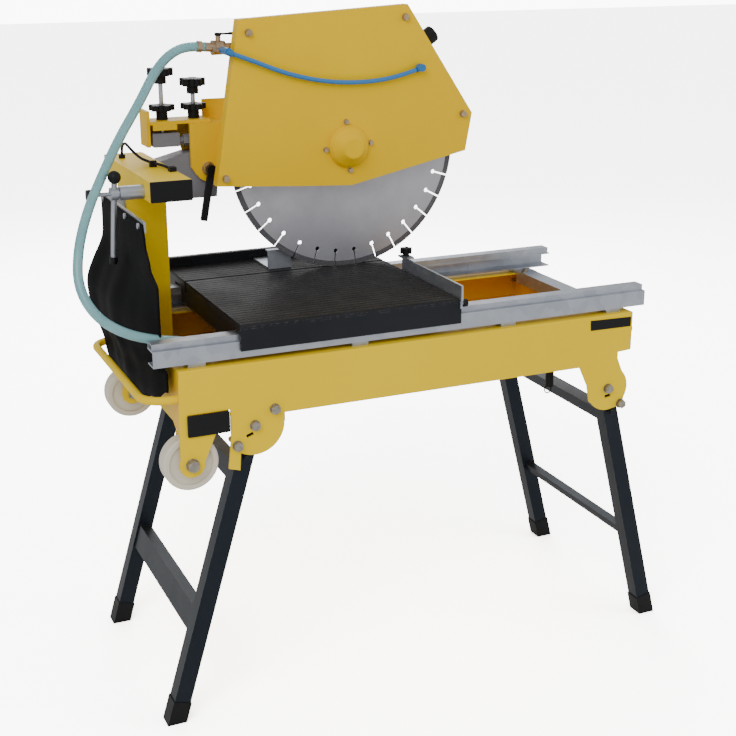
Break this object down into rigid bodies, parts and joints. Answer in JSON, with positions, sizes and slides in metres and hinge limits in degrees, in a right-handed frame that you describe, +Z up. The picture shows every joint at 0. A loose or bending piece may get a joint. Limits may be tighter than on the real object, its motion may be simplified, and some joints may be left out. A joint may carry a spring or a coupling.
{
  "type": "tile cutter",
  "caption": "Bench saw for masonry and tile: water tank on folding legs, rolling table on rails, tilting guarded blade head with motor, recirculating water hose and rear splash curtain",
  "frame": {"origin": "on the floor, under the middle of the overall length and depth (the free hose not counted)", "axes": "+Z up; +X along the rails, from the column end to the free end; -Y is the operator's side, where the guard's cover is"},
  "size_m": [1.1093, 0.5769, 1.196],
  "materials": {
    "yellow_paint": "semi-gloss powder coat",
    "guard_paint": "semi-gloss powder coat",
    "leg_paint": "satin black powder coat",
    "grey_paint": "satin grey paint",
    "motor_paint": "grey painted die casting",
    "black_plastic": "moulded, fine grain",
    "zinc": "zinc plated",
    "bolt_steel": "zinc plated",
    "black_rubber": "matt sheet rubber",
    "table_paint": "matt black powder coat",
    "mat_rubber": "ribbed rubber, worn",
    "nylon": "cast nylon",
    "hose_clear": "clear flexible hose",
    "hose_blue": "blue tube",
    "cable_black": "flexible sheath",
    "brass": "nickel-washed brass",
    "lever_plastic": "moulded",
    "blue_plastic": "moulded",
    "blade_steel": "ground steel core",
    "segment": "sintered diamond segment"
  },
  "bodies": {
    "frame": {"side_plate_front": "yellow_paint", "side_plate_rear": "yellow_paint", "tank_tray": "yellow_paint", "wheel_forks": "yellow_paint", "cross_tube": "yellow_paint", "column": "yellow_paint", "beam": "yellow_paint", "tube_end_caps": "black_plastic", "hinge_lug": "grey_paint", "rail_front": "zinc", "rail_rear": "zinc", "cross_strip": "zinc", "frame_bolts": "bolt_steel", "carry_handle": "yellow_paint", "curtain": "black_rubber", "curtain_strip": "zinc", "pump": "black_plastic", "water_hose": "hose_clear", "drain_plug": "black_plastic", "clamp_boss": "zinc", "label_plate": "black_plastic", "beam_cable": "cable_black"},
    "left_legs": {"left_leg_frame": "leg_paint", "left_feet": "black_plastic"},
    "right_legs": {"right_leg_frame": "leg_paint", "right_feet": "black_plastic"},
    "front_wheel": {"wheel_front": "nylon"},
    "rear_wheel": {"wheel_rear": "nylon"},
    "table": {"table_frame": "table_paint", "table_mats": "mat_rubber", "back_fence": "table_paint", "mitre_fence": "zinc"},
    "left_rollers": {"rollers_left": "zinc"},
    "right_rollers": {"rollers_right": "zinc"},
    "fence_screw": {"fence_knob": "black_plastic"},
    "stop": {"stop_block": "zinc"},
    "head": {"guard_cover": "guard_paint", "guard_shell": "guard_paint", "hub_cap": "guard_paint", "head_bolts": "bolt_steel", "arm_frame": "guard_paint", "arm_block": "grey_paint", "motor_body": "motor_paint", "motor_fan_cover": "motor_paint", "head_grip": "black_plastic", "water_valve": "brass", "hose_fittings": "blue_plastic", "blue_hose": "hose_blue"},
    "blade": {"blade_disc": "blade_steel", "blade_segments": "segment", "blade_spindle": "bolt_steel"},
    "left_screw": {"stop_screw_left": "zinc"},
    "left_knob": {"stop_knob_left": "black_plastic"},
    "left_lock": {"lock_knob_left": "black_plastic"},
    "right_screw": {"stop_screw_right": "zinc"},
    "right_knob": {"stop_knob_right": "black_plastic"},
    "right_lock": {"lock_knob_right": "black_plastic"},
    "cam": {"cam_lever": "black_plastic"},
    "valve_handle": {"valve_lever": "lever_plastic"},
    "clamp": {"clamp_bar": "zinc"}
  },
  "joints": [
    {"name": "left_legs_fold", "type": "hinge", "parent": "frame", "child": "left_legs", "pos_m": [-0.3165, -0.059, 0.537], "axis": [0, -1, 0], "range_deg": [0, 106.4]},
    {"name": "right_legs_fold", "type": "hinge", "parent": "frame", "child": "right_legs", "pos_m": [0.3835, -0.059, 0.503], "axis": [0, 1, 0], "range_deg": [0, 104.2]},
    {"name": "front_wheel_spin", "type": "hinge", "parent": "frame", "child": "front_wheel", "pos_m": [-0.4265, -0.256, 0.483], "axis": [0, 1, 0], "continuous": true},
    {"name": "rear_wheel_spin", "type": "hinge", "parent": "frame", "child": "rear_wheel", "pos_m": [-0.4265, 0.138, 0.483], "axis": [0, 1, 0], "continuous": true},
    {"name": "table_slide", "type": "slide", "parent": "frame", "child": "table", "axis": [1, 0, 0], "range_m": [-0.02, 0.37]},
    {"name": "left_rollers_roll", "type": "hinge", "parent": "table", "child": "left_rollers", "pos_m": [-0.2735, -0.059, 0.6688], "axis": [0, 1, 0], "range_deg": [-110, 1940]},
    {"name": "right_rollers_roll", "type": "hinge", "parent": "table", "child": "right_rollers", "pos_m": [0.0095, -0.059, 0.6688], "axis": [0, 1, 0], "range_deg": [-110, 1940]},
    {"name": "fence_screw_turn", "type": "hinge", "parent": "table", "child": "fence_screw", "pos_m": [0.0785, -0.033, 0.739], "axis": [0, 0, 1], "range_deg": [-60, 60]},
    {"name": "stop_slide", "type": "slide", "parent": "table", "child": "stop", "axis": [1, 0, 0], "range_m": [-0.15, 0.18]},
    {"name": "head_tilt", "type": "hinge", "parent": "frame", "child": "head", "pos_m": [-0.2725, 0.101, 0.911], "axis": [0, -1, 0], "range_deg": [-3, 12], "deforming": ["water_hose"]},
    {"name": "blade_spin", "type": "hinge", "parent": "head", "child": "blade", "pos_m": [-0.0175, 0.039, 0.936], "axis": [0, 1, 0], "continuous": true},
    {"name": "left_knob_turn", "type": "hinge", "parent": "left_screw", "child": "left_knob", "pos_m": [-0.3465, 0.101, 1.08], "axis": [0, 0, -1], "range_deg": [-1440, 1440]},
    {"name": "left_screw_travel", "type": "slide", "parent": "head", "child": "left_screw", "axis": [0, 0, -1], "range_m": [-0.006, 0.006]},
    {"name": "left_lock_turn", "type": "hinge", "parent": "head", "child": "left_lock", "pos_m": [-0.3465, 0.101, 1.01], "axis": [0, 0, 1], "range_deg": [0, 45]},
    {"name": "right_knob_turn", "type": "hinge", "parent": "right_screw", "child": "right_knob", "pos_m": [-0.2875, 0.101, 1.06], "axis": [0, 0, -1], "range_deg": [-1440, 1440]},
    {"name": "right_screw_travel", "type": "slide", "parent": "head", "child": "right_screw", "axis": [0, 0, -1], "range_m": [-0.006, 0.006]},
    {"name": "right_lock_turn", "type": "hinge", "parent": "head", "child": "right_lock", "pos_m": [-0.2875, 0.101, 1.01], "axis": [0, 0, 1], "range_deg": [0, 45]},
    {"name": "cam_turn", "type": "hinge", "parent": "head", "child": "cam", "pos_m": [-0.2725, 0.054, 0.911], "axis": [0, 1, 0], "range_deg": [0, 45]},
    {"name": "valve_turn", "type": "hinge", "parent": "head", "child": "valve_handle", "pos_m": [-0.2565, 0.036, 1.148], "axis": [0, 0, 1], "range_deg": [0, 90]},
    {"name": "clamp_turn", "type": "hinge", "parent": "frame", "child": "clamp", "pos_m": [-0.4785, -0.073, 0.905], "axis": [1, 0, 0], "range_deg": [0, 75]}
  ],
  "couplings": [
    {"joint": "left_rollers_roll", "follows": "table_slide", "rad_per_m": 90.909},
    {"joint": "right_rollers_roll", "follows": "table_slide", "rad_per_m": 90.909},
    {"joint": "left_screw_travel", "follows": "left_knob_turn", "m_per_rad": 0.00023873},
    {"joint": "right_screw_travel", "follows": "right_knob_turn", "m_per_rad": 0.00023873}
  ]
}
